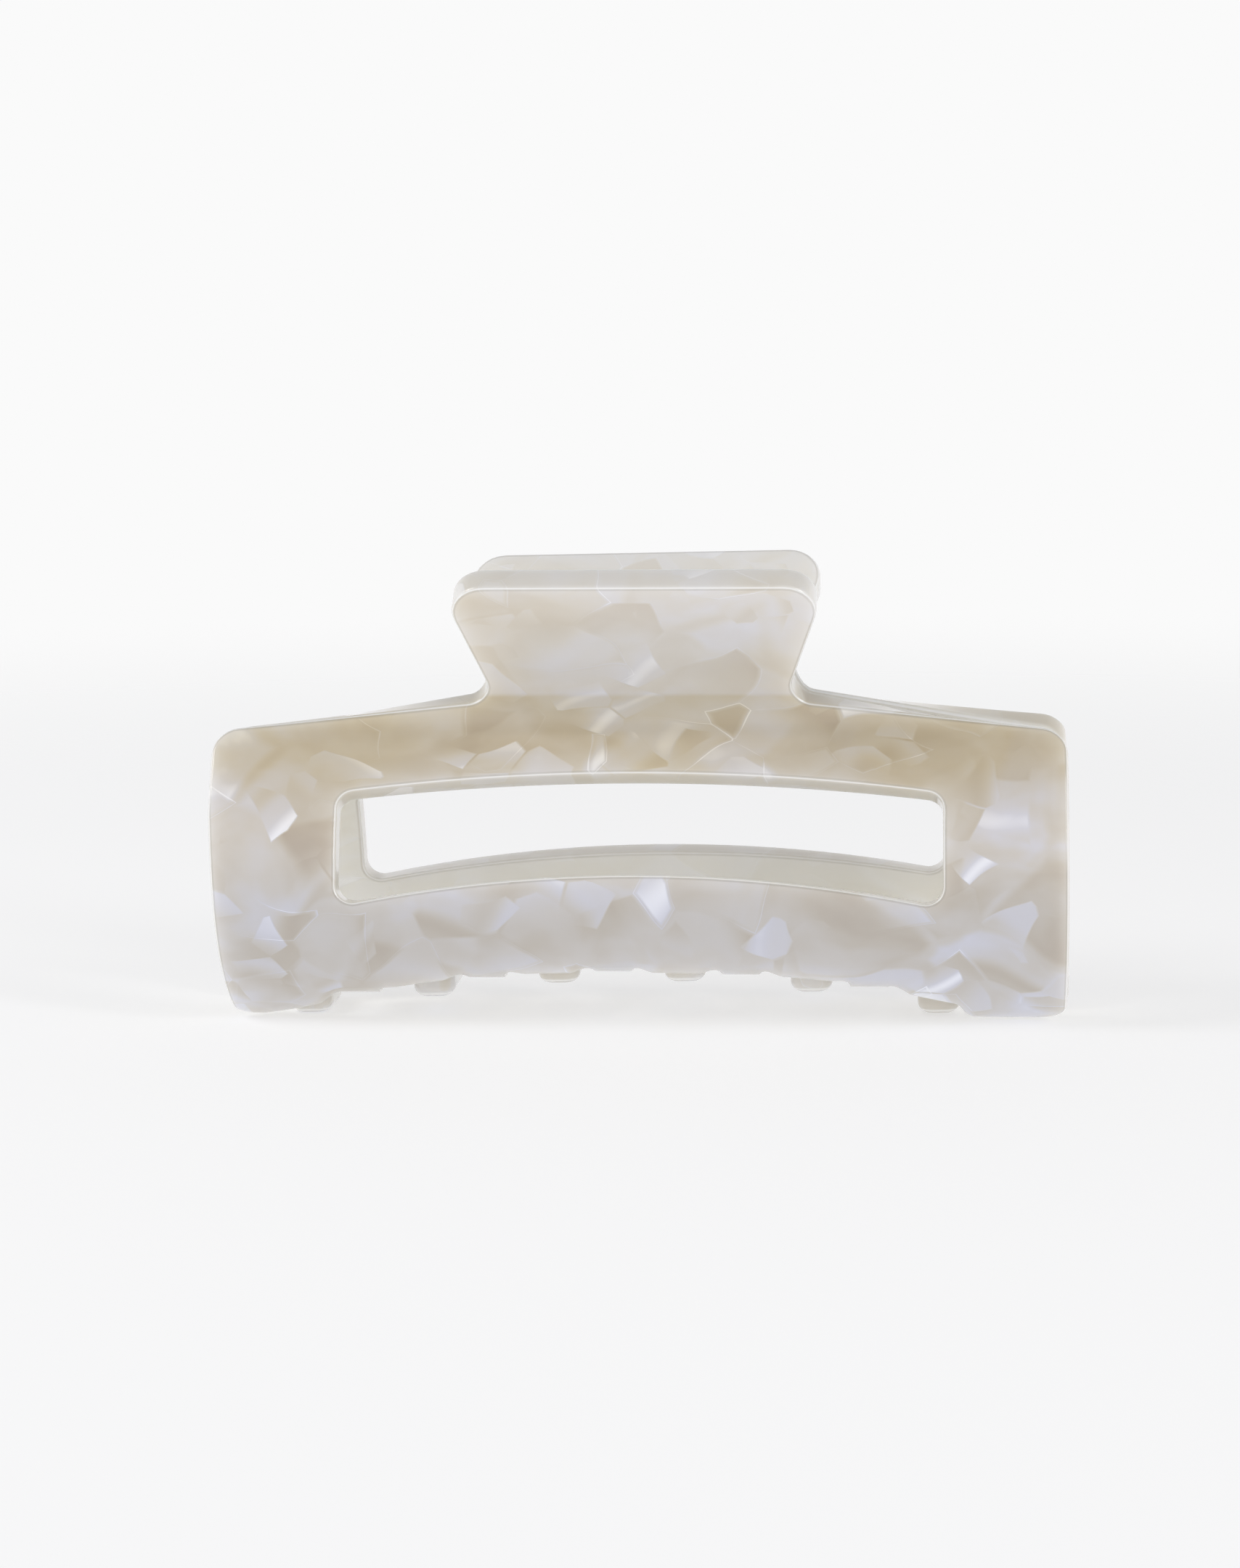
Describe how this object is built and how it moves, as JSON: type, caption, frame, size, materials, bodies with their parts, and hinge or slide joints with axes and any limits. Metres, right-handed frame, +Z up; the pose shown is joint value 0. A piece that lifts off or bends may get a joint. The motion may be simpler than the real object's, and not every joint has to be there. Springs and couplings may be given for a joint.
{
  "type": "claw hair clip",
  "caption": "Rectangular claw hair clip: two curved, windowed acetate jaws with interlocking teeth on a sprung pin hinge, opened by squeezing two flat handles.",
  "frame": {"origin": "middle of the closed clip's length and depth, at the height of the face it stands on", "axes": "+X along the clip and along the hinge pin, +Y from the front jaw to the rear jaw, +Z up from the feet to the handles"},
  "size_m": [0.1007, 0.0296, 0.0547],
  "materials": {
    "pearl_acetate": "polished pearl-marbled cellulose acetate sheet, cream and pale lilac",
    "hinge_steel": "tumbled nickel-plated steel",
    "spring_steel": "drawn spring wire"
  },
  "bodies": {
    "front_body": {"front_jaw": "pearl_acetate", "front_hinge_leaf": "hinge_steel", "hinge_pin": "hinge_steel", "torsion_spring": "spring_steel", "front_anchor_stud_1": "hinge_steel", "front_anchor_stud_2": "hinge_steel", "front_anchor_stud_3": "hinge_steel", "front_anchor_stud_4": "hinge_steel"},
    "rear_body": {"rear_jaw": "pearl_acetate", "rear_hinge_leaf": "hinge_steel", "rear_anchor_stud_1": "hinge_steel", "rear_anchor_stud_2": "hinge_steel", "rear_anchor_stud_3": "hinge_steel", "rear_anchor_stud_4": "hinge_steel"}
  },
  "joints": [
    {"name": "jaw_hinge", "type": "hinge", "parent": "front_body", "child": "rear_body", "pos_m": [0, 0, 0.0444], "axis": [1, 0, 0], "range_deg": [0, 60], "stiffness_Nm_per_rad": 0.25, "springref_deg": -34.38, "deforming": ["torsion_spring"]}
  ]
}
